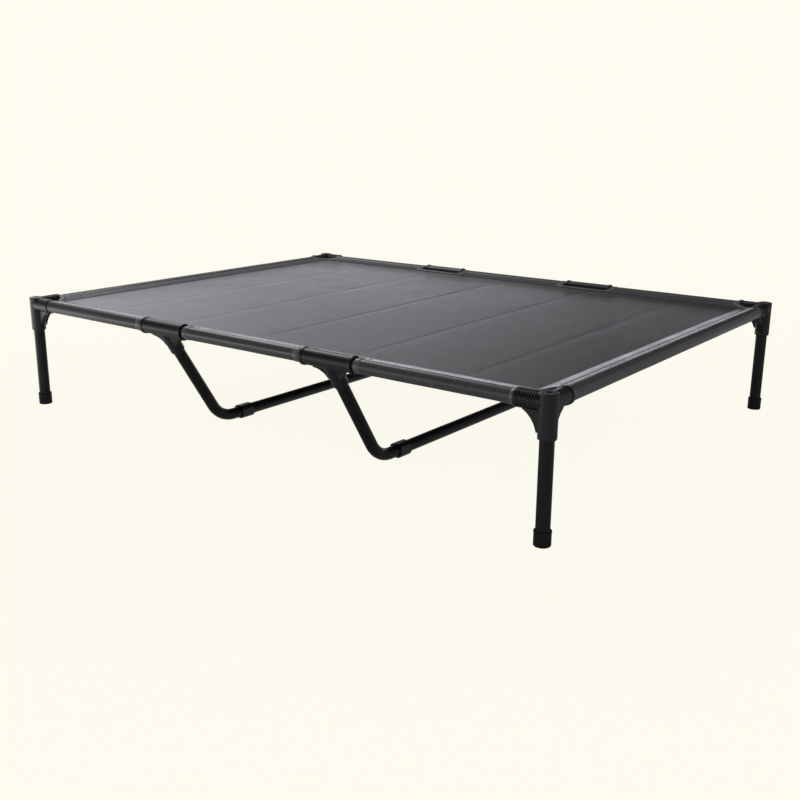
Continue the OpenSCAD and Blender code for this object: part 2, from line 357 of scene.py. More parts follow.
def make_piece(
    name: str, points: list[Point], faces: list[Face], flats: list[Flat] | None = None,
    highlight_line_places: list[Flat] | None = None,
) -> Object:
    """Makes a mesh object at the origin and links it.

    Args:
        name: The piece's name.
        points: Its vertices in metres.
        faces: Its faces by vertex number.
        flats: The flat place of each vertex, for a UV map.
        highlight_line_places: The distance of each vertex from the painted highlight line, for a second
            UV map.

    Returns:
        The new object.
    """
    mesh = bpy.data.meshes.new(name)
    mesh.from_pydata(points, [], faces)
    for label, places in (("flat", flats), ("fold", highlight_line_places)):
        if places:
            layer = mesh.uv_layers.new(name=label)
            for loop in mesh.loops:
                layer.data[loop.index].uv = places[loop.vertex_index]
    mesh.update()
    piece = bpy.data.objects.new(name, mesh)
    bpy.context.scene.collection.objects.link(piece)
    return piece


def thicken(piece: Object, thickness: float) -> None:
    """Gives a sheet its thickness, half on each side, with a modifier that is applied.

    Args:
        piece: The sheet.
        thickness: The thickness.
    """
    solid = piece.modifiers.new("layer", "SOLIDIFY")
    solid.thickness, solid.offset = thickness, 0.0
    pick(piece)
    bpy.ops.object.modifier_apply(modifier=solid.name)


def smooth(piece: Object, degrees: float = 40.0) -> None:
    """Shades a piece smooth where its faces meet at less than an angle."""
    pick(piece)
    bpy.ops.object.shade_smooth_by_angle(angle=math.radians(degrees))


def spaced(first: float, last: float, count: int) -> list[float]:
    """Places from the first one to the last one, in a count of even steps."""
    return [first + (last - first) * i / count for i in range(count + 1)]


def quarter(middle: Flat, radius: float, start: int, step: int) -> list[Flat]:
    """Places on a quarter circle, clockwise from a start and with a step in degrees."""
    turns = [math.radians(start - a) for a in range(0, 91, step)]
    return [(middle[0] + radius * math.cos(t), middle[1] + radius * math.sin(t)) for t in turns]


def ease(low: float, high: float, value: float) -> float:
    """Smooth step from 0 at the low value to 1 at the high one."""
    share = min(max((value - low) / (high - low), 0.0), 1.0)
    return share * share * (3.0 - 2.0 * share)


@dataclass
class RailSection:
    """Line that a sleeve's cloth follows across its rail, from the upper hem edge to the lower one.

    A point is its distance inwards from the rail axis and its height over that axis.
    """

    wrap_radius: float = 0.0116
    upper: tuple[Flat, ...] = ((0.037, 0.0046), (0.0168, 0.0086), (0.0138, 0.0081), (0.0114, 0.0101))
    lower: tuple[Flat, ...] = ((0.0132, 0.0054), (0.0145, 0.0067), (0.0170, 0.0070), (0.037, 0.0030))
    step: float = math.radians(7.5)
    line: list[Vector] = field(init=False)
    lengths: list[float] = field(init=False)

    def __post_init__(self) -> None:
        """Joins the upper layer, the round and the lower layer to one smooth line."""
        first, last = self.touch(self.upper[-1], 1), self.touch(self.lower[0], -1) + 2 * math.pi
        rough = [Vector(p) for p in self.upper]
        for a in spaced(first, last, round((last - first) / self.step)):
            rough.append(Vector((self.wrap_radius * math.cos(a), self.wrap_radius * math.sin(a))))
        rough += [Vector(p) for p in self.lower]
        # Two rounds of cutting corners off make the line smooth
        for _ in range(2):
            cut = [rough[0]]
            for a, b in zip(rough, rough[1:]):
                cut += [a.lerp(b, 0.25), a.lerp(b, 0.75)]
            rough = cut + [rough[-1]]
        self.line = rough
        self.lengths = [0.0]
        for a, b in zip(rough, rough[1:]):
            self.lengths.append(self.lengths[-1] + (b - a).length)

    def touch(self, outside: Flat, way: int) -> float:
        """Angle where a line from an outside point touches the round, above it (1) or below it (-1)."""
        away = math.hypot(*outside)
        return math.atan2(outside[1], outside[0]) + way * math.acos(self.wrap_radius / away)

    @property
    def width(self) -> float:
        """Width of the flat strip."""
        return self.lengths[-1]

    def at(self, along: float) -> tuple[Vector, Vector]:
        """Place on the line.

        Args:
            along: Distance along the flat strip from the upper hem edge.

        Returns:
            The point and the outward normal there.
        """
        i = min(max(bisect_right(self.lengths, along) - 1, 0), len(self.line) - 2)
        a, b = self.line[i], self.line[i + 1]
        way = (b - a).normalized()
        point = a + way * (along - self.lengths[i])
        before = (a - self.line[i - 1]).normalized() if i else way
        after = (self.line[i + 2] - b).normalized() if i + 2 < len(self.line) else way
        share = min(max((along - self.lengths[i]) / (b - a).length, 0.0), 1.0)
        bend = (before + way).normalized().lerp((way + after).normalized(), share)
        return point, Vector((bend.y, -bend.x)).normalized()

    def find(self, inwards: float, upper: bool) -> float:
        """Distance along the strip at which a layer of the hem is this far inwards.

        Args:
            inwards: Distance inwards from the rail axis.
            upper: True for the upper layer.

        Returns:
            The distance along the flat strip.
        """
        spots = range(len(self.line) - 1)
        for i in spots if upper else reversed(spots):
            a, b = self.line[i].x, self.line[i + 1].x
            if min(a, b) <= inwards <= max(a, b) and a != b:
                share = (inwards - a) / (b - a)
                return self.lengths[i] + share * (self.lengths[i + 1] - self.lengths[i])
        raise ValueError(f"no hem at {inwards}")

    def seam(self, upper: bool) -> float:
        """Distance along the strip of the groove that the pocket seam makes in a layer."""
        return self.find(self.upper[2][0] if upper else self.lower[1][0], upper)


@dataclass
class SlingCut:
    """Sizes of the sling that its panel and its sleeves share."""

    half_x: float = 0.602
    half_y: float = 0.4535
    rail_z: float = 0.2134
    cloth: float = 0.0008
    panel_rise: float = 0.0038
    hem_width: float = 0.037
    hem_slope: float = 0.198
    hem_seam: float = 0.0016
    hem_run: float = 0.02
    hem_run_start: float = 0.015
    panel_tuck: float = 0.005
    corner_reach: float = 0.0385
    corner_round: float = 0.0065
    sleeve_reach: float = 0.057
    sleeve_slant: float = 0.004
    slant_zone: Flat = (-0.006, 0.012)
    tee_x: float = 0.2005
    hole_half: float = 0.0575
    hole_depth: float = 0.029
    hole_round: float = 0.009
    tape_end: float = 0.013
    tape_side: float = 0.0078
    tape: float = 0.0006
    tape_under: float = 0.00012
    tape_seam: float = 0.84
    stitch_pitch: float = 0.0042
    stitch_sink: float = 0.0001
    stitch_probe: float = 0.001
    section: RailSection = field(default_factory=RailSection)


@dataclass
class Stitch:
    """One lock stitch: a thread that dips into the cloth at both ends."""

    length: float = 0.0032
    width: float = 0.0005
    rise: float = 0.0002
    points: list[Vector] = field(default_factory=list)
    faces: list[Face] = field(default_factory=list)

    def model(self) -> tuple[list[Vector], list[Face]]:
        """Models the stitch along X the first time, and hands it out.

        Returns:
            Its points and faces.
        """
        if not self.points:
            deselect_all()
            bpy.ops.mesh.primitive_uv_sphere_add(segments=6, ring_count=5, radius=1.0)
            ball = bpy.context.object
            size = Vector((self.length / 2, self.width / 2, self.rise))
            self.points = [Vector((v.co.z, v.co.x, v.co.y)) * size for v in ball.data.vertices]
            self.faces = [tuple(f.vertices) for f in ball.data.polygons]
            bpy.data.objects.remove(ball, do_unlink=True)
        return self.points, self.faces


STITCH = Stitch()


@dataclass
class Lining:
    """Tapes and stitches of one sewn piece, whose spread takes a flat place and a lift to a point."""

    cut: SlingCut
    spread: Callable[[float, float, float], Point]
    points: list[Point] = field(default_factory=list)
    flats: list[Flat] = field(default_factory=list)
    faces: list[Face] = field(default_factory=list)
    sewn: list[Point] = field(default_factory=list)
    sewn_faces: list[Face] = field(default_factory=list)
    sewn_light: list[bool] = field(default_factory=list)

    def bind(self, edge: list[Flat], closed: bool, share: float = 1.0) -> None:
        """Folds a tape over an edge and stitches it down.

        Args:
            edge: Flat places along the edge, with the cloth on the left of the way.
            closed: True if the edge comes back to its start.
            share: Share of the tape's full width.
        """
        cut = self.cut
        above, below = cut.cloth / 2 + cut.tape, -cut.cloth / 2 - cut.tape_under
        # Depth and lift round the tape's section, from its upper edge over the fold to its lower edge
        loop = [(1.0, cut.cloth / 2), (0.93, above * 0.96), (0.5, above), (0.08, above), (-0.05, 0.0),
                (0.08, below), (0.5, below), (0.93, below), (1.0, -cut.cloth / 2)]
        first, count, size, run = len(self.points), len(edge), len(loop), 0.0
        seam: list[Flat] = []
        ahead = edge[1:] + (edge[:1] if closed else edge[-1:])
        behind = (edge[-1:] if closed else edge[:1]) + edge[:-1]
        for i, (s, v) in enumerate(edge):
            way = Vector((ahead[i][0] - behind[i][0], ahead[i][1] - behind[i][1])).normalized()
            wide = share * (cut.tape_side + (cut.tape_end - cut.tape_side) * way.x ** 2)
            into = Vector((-way.y, way.x)) * wide
            run += math.dist(edge[i - 1], edge[i]) if i else 0.0
            for k, (depth, lift) in enumerate(loop):
                self.points.append(self.spread(s + into.x * depth, v + into.y * depth, lift))
                self.flats.append((run, depth * wide * (1 if k < size / 2 else -1)))
            seam.append((s + into.x * cut.tape_seam, v + into.y * cut.tape_seam))
        for i in range(count if closed else count - 1):
            a, b = first + i * size, first + ((i + 1) % count) * size
            ring = [(k, (k + 1) % size) for k in range(size)]
            self.faces += [(a + k, a + after, b + after, b + k) for k, after in ring]
        if not closed:
            self.faces.append(tuple(reversed(range(first, first + size))))
            self.faces.append(tuple(range(first + (count - 1) * size, first + count * size)))
        self.sew(seam + seam[:1] if closed else seam, above - cut.stitch_sink, False)

    def sew(self, line: list[Flat], lift: float, light: bool) -> None:
        """Sews stitches along a line.

        Args:
            line: Flat places along the line.
            lift: Distance of the thread out of the middle of the cloth.
            light: True for the light thread.
        """
        shape, skin = STITCH.model()
        pitch, probe = self.cut.stitch_pitch, self.cut.stitch_probe
        due = pitch / 2
        for a, b in zip(line, line[1:]):
            length = math.dist(a, b)
            while due < length:
                s, v = (a[k] + (b[k] - a[k]) * due / length for k in (0, 1))
                step_s, step_v = ((b[k] - a[k]) / length * probe for k in (0, 1))
                middle = Vector(self.spread(s, v, lift))
                ahead = (Vector(self.spread(s + step_s, v + step_v, lift)) - middle).normalized()
                up = (Vector(self.spread(s, v, lift + probe)) - middle).normalized()
                turn = Matrix((ahead, up.cross(ahead), up)).transposed()
                self.sewn_faces += [tuple(k + len(self.sewn) for k in face) for face in skin]
                self.sewn_light += [light] * len(skin)
                self.sewn += [tuple(middle + turn @ p) for p in shape]
                due += pitch
            due -= length

    def make(self, label: str) -> tuple[Object, Object]:
        """Makes the collected tapes and stitches.

        Args:
            label: The end of the pieces' names.

        Returns:
            The tapes and the stitches.
        """
        tapes = make_piece(f"binding_{label}", self.points, self.faces, self.flats)
        smooth(tapes, degrees=50.0)
        wear(tapes, BINDING_TAPE)
        stitches = make_piece(f"stitches_{label}", self.sewn, self.sewn_faces)
        smooth(stitches, degrees=180.0)
        for finish in (THREAD, LIGHT_THREAD):
            wear(stitches, finish)
        for face, light in zip(stitches.data.polygons, self.sewn_light):
            face.material_index = int(light)
        return tapes, stitches


@dataclass
class Sleeve:
    """Sewn pocket of one side, cut flat with its holes and ends and wrapped round its rail.

    In its methods s is a distance along the flat strip across the rail, and v a distance along the rail.
    """

    side: Side
    cut: SlingCut
    hem_rows: int = 6
    row_pitch: float = 0.0014
    seam_row_pitch: float = 0.0005
    seam_row_reach: float = 0.003
    column_pitch: float = 0.004
    end_columns: int = 6
    end_zone: float = 0.024
    end_steps: int = 110
    arc_degrees: int = 15
    outline_pitch: float = 0.002
    # Places across the strip of the painted highlight line, as shares of its width
    front_highlight_line: float = 0.445
    other_highlight_line: float = 0.501667
    pucker_reach: float = 0.005
    ripple_rise: float = 0.00005
    ripple_waves: Point = (380.0, 37.0, 183.0)
    ripple_sway: float = 1.7
    second_ripple: Flat = (0.6, 0.8)
    swell_rise: float = 0.0001
    swell_waves: Point = (47.0, 19.0, 60.0)
    swell_start: float = 0.6
    hole_slack: float = 0.000001

    @property
    def half(self) -> float:
        """Distance from the middle of the side to its corner posts."""
        return self.cut.half_x if self.side.is_long else self.cut.half_y

    @property
    def tees(self) -> tuple[float, ...]:
        """Places of the tees along the side."""
        return (-self.cut.tee_x, self.cut.tee_x) if self.side.is_long else ()

    @property
    def fold(self) -> Flat:
        """Painted highlight line along the pocket.

        Returns:
            Its place across the strip, and its run from the middle of the side.
        """
        width = self.cut.section.width
        if self.side is Side.FRONT:
            return width * self.front_highlight_line, self.cut.tee_x - self.cut.hole_half
        return width * self.other_highlight_line, 0.0 if self.side.is_long else self.half

    @property
    def pocket(self) -> Flat:
        """Where the straight ends of a tee's hole start and stop across the strip."""
        section, depth, r = self.cut.section, self.cut.hole_depth, self.cut.hole_round
        return section.find(depth, True) + r, section.find(depth, False) - r

    def pucker(self, s: float, v: float) -> float:
        """Small swell of the cloth between the stitches of the pocket seam.

        Args:
            s: Distance across the rail.
            v: Distance along it.

        Returns:
            How far the cloth stands out.
        """
        near = math.exp(-(((s - self.cut.section.seam(True)) / self.pucker_reach) ** 2))
        fine, slow, broad = (v * wave for wave in self.ripple_waves)
        share, start = self.second_ripple
        ripple = math.sin(fine + self.ripple_sway * math.sin(slow)) + share * math.sin(broad + start)
        along, skew, across = self.swell_waves
        swell = math.sin(v * along + self.swell_start) * math.sin(v * skew + s * across)
        return self.ripple_rise * near * ripple + self.swell_rise * swell

    def spread(self, s: float, v: float, lift: float) -> Point:
        """Takes a flat place on the strip to its place round the rail.

        Args:
            s: Distance across the rail.
            v: Distance along it.
            lift: Distance out of the middle of the cloth.

        Returns:
            The point.
        """
        point, normal = self.cut.section.at(s)
        spot = point + normal * (lift + self.pucker(s, v))
        y = spot.x - (self.cut.half_y if self.side.is_long else self.cut.half_x)
        way_x, way_y = self.side.value
        return (v * way_x - y * way_y, v * way_y + y * way_x, self.cut.rail_z + spot.y)

    def end(self, s: float) -> float:
        """Distance from the middle of the side to the sleeve's end: less on top, more along the hem.

        Args:
            s: Distance across the rail.

        Returns:
            The distance along the rail.
        """
        cut = self.cut
        inwards = cut.section.at(min(max(s, 0.0), cut.section.width))[0].x
        back = cut.sleeve_slant * ease(*cut.slant_zone, inwards)
        back -= cut.hem_run * ease(cut.hem_run_start, cut.hem_width, inwards)
        return self.half - cut.sleeve_reach - back

    def hem_limit(self, v: float, upper: bool) -> float:
        """Where the hem rows end across the strip: at a tee's hole, or further on beside it.

        Args:
            v: Distance along the rail.
            upper: True for the upper layer.

        Returns:
            The distance across the rail.
        """
        way, r = 1 if upper else -1, self.cut.hole_round
        edge = self.cut.section.find(self.cut.hole_depth, upper)
        spare = max((self.cut.hole_half - abs(v - tee) for tee in self.tees), default=-1.0)
        dip = min(max(r - spare, 0.0), r)
        return edge + way * (r - math.sqrt(r * r - dip * dip))

    def in_hole(self, v: float) -> bool:
        """True where a place along the rail is strictly inside a tee's hole."""
        return any(abs(v - tee) < self.cut.hole_half - self.hole_slack for tee in self.tees)

    def columns(self) -> list[float]:
        """Places along the rail where the mesh has a column of points.

        Returns:
            The places in order, short of the end zones.
        """
        limit = self.half - self.cut.sleeve_reach - self.cut.sleeve_slant - self.end_zone
        stops = [-limit, limit]
        for tee in self.tees:
            for way in (-1, 1):
                edge = tee + way * self.cut.hole_half
                stops.append(edge)
                stops += [edge - way * self.cut.hole_round * (1 - math.cos(math.radians(a)))
                          for a in range(self.arc_degrees, 91, self.arc_degrees)]
        stops.sort()
        places: list[float] = []
        for a, b in zip(stops, stops[1:]):
            count = max(round((b - a) / self.column_pitch), 1)
            places += spaced(a, b, count)[:-1]
        return places + [stops[-1]]

    def rows(self) -> list[float]:
        """Shares of the pocket's width where the mesh has a row, close together at the two seams.

        Returns:
            The shares from 0 to 1.
        """
        low, high = self.pocket
        seams = [self.cut.section.seam(upper) for upper in (True, False)]
        spots = [low]
        while spots[-1] < high:
            near = min(abs(spots[-1] - seam) for seam in seams) < self.seam_row_reach
            spots.append(spots[-1] + (self.seam_row_pitch if near else self.row_pitch))
        return [(s - low) / (spots[-1] - low) for s in spots]

    def build_cloth(self) -> Object:
        """Cuts the strip flat, with its holes and ends, and wraps it round the rail.

        Returns:
            The sleeve.
        """
        inner, shares, width = self.columns(), self.rows(), self.cut.section.width
        hem, ends = spaced(0.0, 1.0, self.hem_rows), spaced(0.0, 1.0, self.end_columns)[1:]
        stations = [(inner[0], -e) for e in reversed(ends)] + [(v, 0.0) for v in inner]
        stations += [(inner[-1], e) for e in ends]
        fold, highlight_line_run = self.fold
        points, flats, highlight_line_places, grid = [], [], [], []
        for v, out in stations:
            top, bottom = self.hem_limit(v, True), self.hem_limit(v, False)
            spots = [top * h for h in hem]
            spots += [top + (bottom - top) * share for share in shares[1:-1]]
            spots += [bottom + (width - bottom) * h for h in hem]
            grid.append(range(len(points), len(points) + len(spots)))
            for s in spots:
                place = v + out * (self.end(s) - abs(v))
                points.append(self.spread(s, place, 0.0))
                flats.append((s, place))
                highlight_line_places.append((s - fold, 0.0) if abs(place) < highlight_line_run else NO_HIGHLIGHT_LINE)
        pocket = range(self.hem_rows, self.hem_rows + len(shares) - 1)
        faces = []
        for i, (a, b) in enumerate(zip(grid, grid[1:])):
            is_open = self.in_hole((stations[i][0] + stations[i + 1][0]) / 2)
            kept = [r for r in range(len(a) - 1) if not (is_open and r in pocket)]
            faces += [(a[r], b[r], b[r + 1], a[r + 1]) for r in kept]
        piece = make_piece(f"sleeve_{self.side.label}", points, faces, flats, highlight_line_places)
        thicken(piece, self.cut.cloth)
        smooth(piece)
        wear(piece, SLEEVE_CLOTH)
        return piece

    def hole_outline(self, tee: float) -> list[Flat]:
        """Outline of a tee's hole in the flat strip, with the cloth on the left of the way.

        Args:
            tee: Place of the tee along the rail.

        Returns:
            The flat places round it.
        """
        (low, high), r = self.pocket, self.cut.hole_round
        start, stop = tee - self.cut.hole_half + r, tee + self.cut.hole_half - r
        corners = (((low, start), 270), ((low, stop), 180), ((high, stop), 90), ((high, start), 0))
        arcs = [quarter(middle, r, turn, self.arc_degrees) for middle, turn in corners]
        outline: list[Flat] = []
        for arc, after in zip(arcs, arcs[1:] + arcs[:1]):
            (s0, v0), (s1, v1) = arc[-1], after[0]
            count = max(round(math.dist(arc[-1], after[0]) / self.outline_pitch), 1)
            outline += arc + list(zip(spaced(s0, s1, count), spaced(v0, v1, count)))[1:-1]
        return outline

    def build_trim(self) -> tuple[Object, Object]:
        """Binds the ends and the holes, and sews the hem and the pocket seam.

        Returns:
            The tapes and the stitches.
        """
        cut, section, lining = self.cut, self.cut.section, Lining(self.cut, self.spread)
        across = spaced(0.0, section.width, self.end_steps)
        lining.bind([(s, self.end(s)) for s in across], False)
        lining.bind([(s, -self.end(s)) for s in reversed(across)], False)
        for tee in self.tees:
            lining.bind(self.hole_outline(tee), True)
        seam, hem = section.seam(True), section.find(cut.hem_width - cut.hem_seam, True)
        reach, hem_reach = self.end(seam) - cut.tape_end, self.end(hem) - cut.tape_end
        gap = cut.hole_half + cut.tape_end
        stops = [-reach] + [tee + way * gap for tee in self.tees for way in (-1, 1)] + [reach]
        for a, b in zip(stops[::2], stops[1::2]):
            lining.sew([(seam, a), (seam, b)], cut.cloth / 2, False)
        lining.sew([(hem, -hem_reach), (hem, hem_reach)], cut.cloth / 2, True)
        return lining.make(self.side.label)

    def build(self) -> list[Object]:
        """Makes the sleeve with its trim and hides the imported sleeve.

        Returns:
            The pieces, the sleeve first.
        """
        cloth = self.build_cloth()
        tapes, stitches = self.build_trim()
        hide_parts(f"{self.side.label}_sleeve")
        rails = [f"rail_{self.side.label}_{place}" for place in ("left", "middle", "right")]
        flat = (self.cut.section.width, 2 * self.end(0.0))
        rails if self.side.is_long else [f"end_rail_{self.side.label}"]
        return [cloth, tapes, stitches]


@dataclass
class MeshPanel:
    """Stretched mesh panel between the four hems, with fold creases and bound corner cut-outs."""

    cut: SlingCut
    creases: tuple[float, ...] = (-0.405, -0.206, 0.003, 0.219, 0.438)
    crease_steep: float = 0.004
    crease_gentle: float = 0.02
    crease_depth: float = 0.00024
    wave_rise: float = 0.00006
    wave_x: Flat = (14.0, 0.4)
    wave_y: Flat = (11.0, 1.1)
    taut_rim: float = 0.03
    columns: int = 90
    rows: int = 70
    end_columns: int = 10
    end_zone: float = 0.03
    arc_degrees: int = 10
    arc_shift: float = 0.0004
    tuck_row: float = 0.0025
    tape_degrees: int = 5
    tape_share: float = 0.45
    decimals: int = 6

    def height(self, x: float, y: float) -> float:
        """Height of the panel's middle: taut, with creases, and rising where it is tucked into the hems.

        Args:
            x: Place along the long side.
            y: Place along the short side.

        Returns:
            The height in the frame.
        """
        cut = self.cut
        rim = min(cut.half_x - abs(x), cut.half_y - abs(y))
        rise = cut.hem_slope * max(cut.hem_width - rim, 0.0)
        dip = 0.0
        for crease in self.creases:
            away = x - crease
            share = away / self.crease_gentle if away > 0 else -away / self.crease_steep
            dip -= self.crease_depth * max(1.0 - share, 0.0)
        (turns_x, start_x), (turns_y, start_y) = self.wave_x, self.wave_y
        wave = self.wave_rise * math.sin(x * turns_x + start_x) * math.sin(y * turns_y + start_y)
        relief = (dip + wave) * ease(0.0, self.taut_rim, rim - cut.hem_width)
        return cut.rail_z + cut.panel_rise + rise + relief

    def spread(self, x: float, y: float, lift: float) -> Point:
        """Takes a flat place and a distance out of the cloth to a point of the frame."""
        return (x, y, self.height(x, y) + lift)

    def reach(self, y: float) -> float:
        """How far the panel runs from the middle at a place along the short side.

        Args:
            y: The place.

        Returns:
            The distance along X.
        """
        cut = self.cut
        gap = cut.half_y - abs(y)
        if gap >= cut.corner_reach:
            return cut.half_x - cut.hem_width + cut.panel_tuck
        dip = max(gap - cut.corner_reach + cut.corner_round, 0.0)
        inner = cut.corner_reach - cut.corner_round + math.sqrt(cut.corner_round ** 2 - dip ** 2)
        return cut.half_x - inner

    def build_cloth(self) -> Object:
        """Stretches the panel.

        Returns:
            The panel.
        """
        cut = self.cut
        inner_x, turn_y = cut.half_x - cut.corner_reach - self.end_zone, cut.half_y - cut.corner_reach
        across = spaced(-inner_x, inner_x, self.columns)
        # A crease has columns of its own, close together on its steep side
        for crease in self.creases:
            across += [crease + self.crease_steep * k for k in (-2, -1, 0, 2)]
            across += [crease + self.crease_gentle * k / 2 for k in (1, 2, 3)]
        arc = [turn_y + cut.corner_round * (1 - math.cos(math.radians(a)))
               for a in range(0, 91, self.arc_degrees)]
        edge_y = cut.half_y - cut.hem_width + cut.panel_tuck
        rim = [arc[0] + self.arc_shift / 2] + [y + self.arc_shift for y in arc[1:]]
        rim += [edge_y - self.tuck_row, edge_y]
        down = spaced(-turn_y, turn_y, self.rows) + rim + [-y for y in rim]
        columns, rows = (
            sorted({round(place, self.decimals) for place in places}) for places in (across, down)
        )
        points, flats = [], []
        for y in rows:
            side = spaced(inner_x, self.reach(y), self.end_columns)[1:]
            for x in [-x for x in reversed(side)] + columns + side:
                points.append(self.spread(x, y, 0.0))
                flats.append((x, y))
        width = len(points) // len(rows)
        firsts = [r * width + c for r in range(len(rows) - 1) for c in range(width - 1)]
        faces = [(i, i + 1, i + width + 1, i + width) for i in firsts]
        piece = make_piece("sling_panel", points, faces, flats)
        thicken(piece, cut.cloth)
        smooth(piece)
        wear(piece, PANEL_MESH)
        return piece

    def build_trim(self) -> tuple[Object, Object]:
        """Binds the four corner cut-outs.

        Returns:
            The tapes and the stitches.
        """
        cut, r = self.cut, self.cut.corner_round
        lining = Lining(cut, self.spread)
        x, y = cut.half_x - cut.corner_reach + r, cut.half_y - cut.corner_reach + r
        for k, (side_x, side_y) in enumerate(((1, 1), (-1, 1), (-1, -1), (1, -1))):
            edge = quarter((side_x * x, side_y * y), r, 90 * k + 270, self.tape_degrees)
            lining.bind(edge, False, self.tape_share)
        return lining.make("panel")

    def build(self) -> list[Object]:
        """Makes the panel with its trim and hides the imported panel.

        Returns:
            The pieces, the panel first.
        """
        cloth = self.build_cloth()
        tapes, stitches = self.build_trim()
        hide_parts("mesh_panel")
        [f"sleeve_{side.label}" for side in Side]
        return [cloth, tapes, stitches]


@dataclass
class Sling:
    """Whole sewn sling: four sleeves and the panel between them."""

    cut: SlingCut = field(default_factory=SlingCut)

    def build(self) -> list[Object]:
        """Makes all the sling's pieces.

        Returns:
            The pieces.
        """
        pieces = [piece for side in Side for piece in Sleeve(side, self.cut).build()]
        panel, *trim = MeshPanel(self.cut).build()
        pieces += [panel, *trim]
        for piece in pieces:
            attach(piece, "root")
        return pieces


@dataclass
class TubeFrame:
    """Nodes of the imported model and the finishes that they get."""

    finishes: tuple[tuple[Finish, tuple[str, ...]], ...] = (
        (MOULDED_PLASTIC, ("corner_connector_", "support_tee_", "floor_coupler_")),
        (FOOT_RUBBER, ("foot_cap_",)),
        (TUBE_PAINT, ("corner_leg_", "rail_", "end_rail_", "support_leg_", "cross_tube_")),
        (PANEL_MESH, ("mesh_panel",)),
        (SLEEVE_CLOTH, ("front_sleeve", "back_sleeve", "left_sleeve", "right_sleeve")),
    )

    def dress(self) -> list[str]:
        """Gives each node its finish.

        Returns:
            The names of the nodes that were dressed.
        """
        done = []
        for name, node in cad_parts.items():
            for finish, starts in self.finishes:
                if name.startswith(starts):
                    node.data.materials.clear()
                    wear(node, finish)
                    done.append(name)
        return done


@dataclass(frozen=True)
class Lamp:
    """Soft square lamp that faces the object; gloss shows it only if it is mirrored."""

    name: str
    place: Point
    size: float
    watts: float
    mirrored: bool

    def hang(self, aim: Point) -> None:
        """Hangs the lamp.

        Args:
            aim: The point that it faces.
        """
        deselect_all()
        bpy.ops.object.light_add(type="AREA", location=self.place)
        lamp = bpy.context.object
        lamp.name = self.name
        lamp.data.size, lamp.data.energy = self.size, self.watts
        lamp.visible_glossy = self.mirrored
        lamp.rotation_euler = (Vector(aim) - Vector(self.place)).to_track_quat("-Z", "Y").to_euler()


